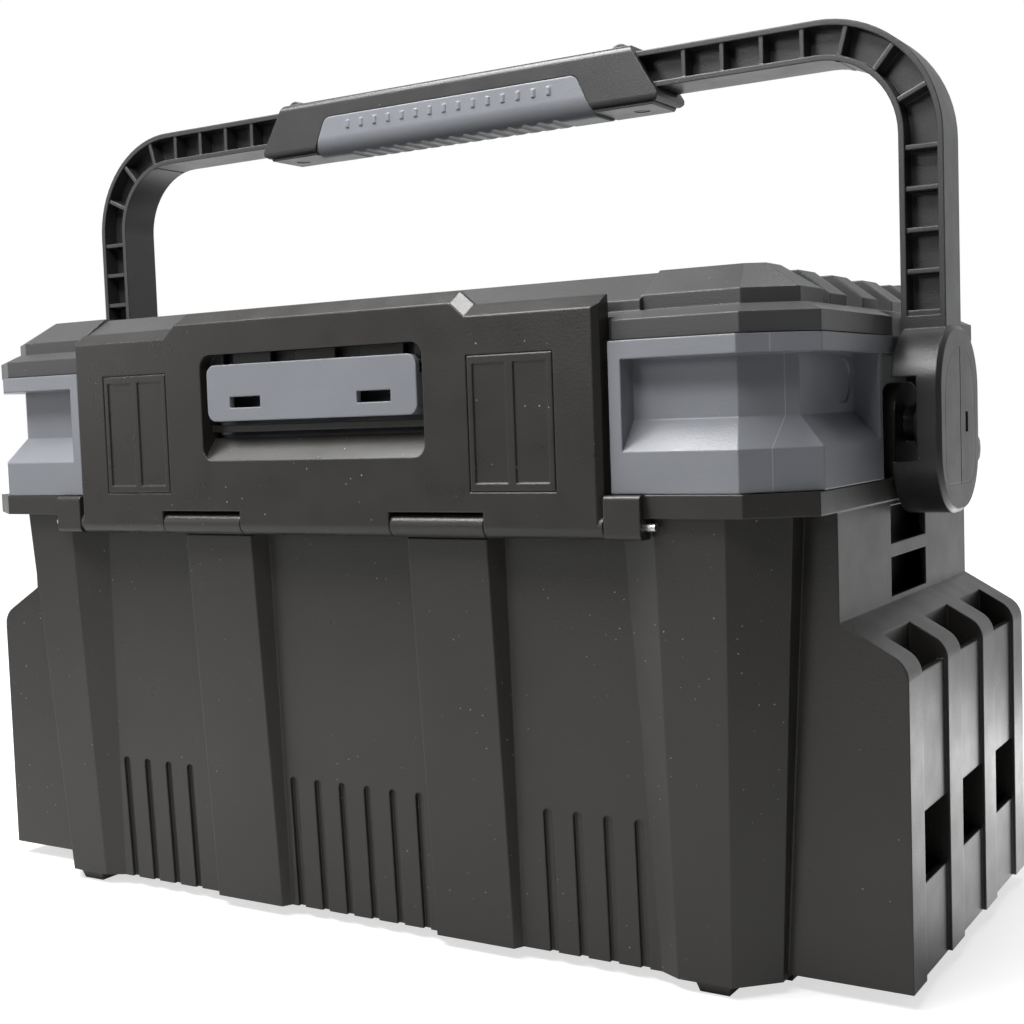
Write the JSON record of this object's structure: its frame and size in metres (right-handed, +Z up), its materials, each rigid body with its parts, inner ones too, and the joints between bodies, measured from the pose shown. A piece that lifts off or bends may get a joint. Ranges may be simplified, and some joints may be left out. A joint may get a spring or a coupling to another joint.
{
  "type": "tackle box",
  "caption": "Upright tackle box with a hinged tray and lid, a front flap with a pull latch, end holders and a swinging carrying handle.",
  "frame": {"origin": "centre of the footprint, on the plane the feet stand on", "axes": "+X along the length to the right seen from the front, +Y to the rear, +Z up; the flap and latch face -Y"},
  "size_m": [0.434, 0.2324, 0.3505],
  "materials": {
    "black_plastic": "fine moulded texture, slight sheen",
    "grey_plastic": "fine moulded texture, slight sheen",
    "steel": "zinc plated"
  },
  "bodies": {
    "bin": {"base_bin": "black_plastic", "front_hinge_pin": "steel", "tray_hinge_pin": "steel", "pivot_screw_left": "steel", "pivot_screw_right": "steel", "pivot_washer_left": "steel", "pivot_washer_right": "steel"},
    "lift_tray": {"lift_out_tray": "black_plastic"},
    "tray": {"mid_tray": "grey_plastic", "lid_hinge_pin": "steel", "tray_divider_left": "grey_plastic", "tray_divider_right": "grey_plastic"},
    "lid": {"lid": "black_plastic"},
    "flap": {"front_flap": "black_plastic", "latch_pin": "steel", "latch_spring_left": "steel", "latch_spring_right": "steel"},
    "latch": {"latch_handle": "grey_plastic"},
    "handle": {"handle_bail": "black_plastic", "hub_cap_left": "black_plastic", "hub_cap_right": "black_plastic", "grip_cover": "black_plastic", "grip_insert": "grey_plastic", "grip_lower": "black_plastic", "grip_screw_left": "steel", "grip_screw_right": "steel"}
  },
  "joints": [
    {"name": "handle_swing", "type": "hinge", "parent": "bin", "child": "handle", "pos_m": [0, 0, 0.1946], "axis": [-1, 0, 0], "range_deg": [0, 115]},
    {"name": "tray_hinge", "type": "hinge", "parent": "bin", "child": "tray", "pos_m": [0, 0.1109, 0.1808], "axis": [-1, 0, 0], "range_deg": [0, 26]},
    {"name": "lid_hinge", "type": "hinge", "parent": "tray", "child": "lid", "pos_m": [0, 0.1109, 0.2326], "axis": [-1, 0, 0], "range_deg": [0, 75]},
    {"name": "flap_hinge", "type": "hinge", "parent": "bin", "child": "flap", "pos_m": [0, -0.1118, 0.164], "axis": [1, 0, 0], "range_deg": [0, 170]},
    {"name": "latch_pull", "type": "hinge", "parent": "flap", "child": "latch", "pos_m": [0, -0.1094, 0.224], "axis": [-1, 0, 0], "range_deg": [0, 35], "stiffness_Nm_per_rad": 0.05},
    {"name": "tray_lift", "type": "slide", "parent": "bin", "child": "lift_tray", "axis": [0, 0, 1], "range_m": [0, 0.02]}
  ],
  "couplings": [
    {"joint": "lid_hinge", "follows": "handle_swing", "ratio": 0.652}
  ]
}
